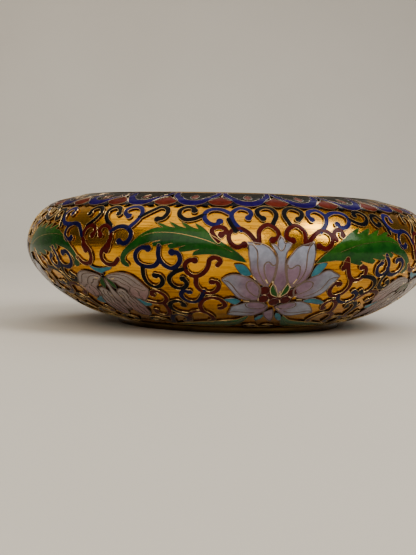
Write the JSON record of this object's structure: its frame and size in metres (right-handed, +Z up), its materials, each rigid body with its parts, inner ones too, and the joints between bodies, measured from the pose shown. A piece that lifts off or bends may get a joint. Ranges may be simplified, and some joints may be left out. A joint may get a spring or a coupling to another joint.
{
  "type": "cloisonne bowl",
  "caption": "Low round bowl with an incurved mouth, raised enamel lotus flowers, leaves and scrolls on a recessed gilt ground, and a ruyi border.",
  "frame": {"origin": "centre of the foot ring's underside", "axes": "+Z up along the bowl's axis, -Y towards the front lotus flower"},
  "size_m": [0.1548, 0.1546, 0.0478],
  "materials": {
    "gilt_copper": "gilt copper, brushed in fine rings, tarnished in the recesses",
    "turquoise_enamel": "glossy fired enamel with fine pits, level with its gilt wires",
    "cobalt_enamel": "glossy fired enamel with fine pits, level with its gilt wires",
    "petal_enamel": "milky enamel, blue-white at the petal tips and lilac at their roots",
    "green_enamel": "glossy fired enamel with fine pits, level with its gilt wires",
    "oxblood_enamel": "glossy fired enamel with fine pits, level with its gilt wires",
    "black_enamel": "glossy fired enamel with fine pits, level with its gilt wires"
  },
  "bodies": {
    "root": {"bowl_body": "gilt_copper", "mouth_rim": "gilt_copper", "foot_ring": "gilt_copper", "inner_enamel": "turquoise_enamel", "base_enamel": "turquoise_enamel", "ruyi_border": "cobalt_enamel", "lotus_flower_1": "petal_enamel", "hanging_flower_1": "petal_enamel", "lotus_flower_2": "petal_enamel", "hanging_flower_2": "petal_enamel", "lotus_flower_3": "petal_enamel", "hanging_flower_3": "petal_enamel", "lotus_flower_4": "petal_enamel", "hanging_flower_4": "petal_enamel", "upper_leaf_1": "green_enamel", "lower_leaf_1": "green_enamel", "upper_leaf_2": "green_enamel", "lower_leaf_2": "green_enamel", "upper_leaf_3": "green_enamel", "lower_leaf_3": "green_enamel", "upper_leaf_4": "green_enamel", "lower_leaf_4": "green_enamel", "upper_leaf_5": "green_enamel", "lower_leaf_5": "green_enamel", "upper_leaf_6": "green_enamel", "lower_leaf_6": "green_enamel", "upper_leaf_7": "green_enamel", "lower_leaf_7": "green_enamel", "upper_leaf_8": "green_enamel", "lower_leaf_8": "green_enamel"}
  },
  "joints": []
}
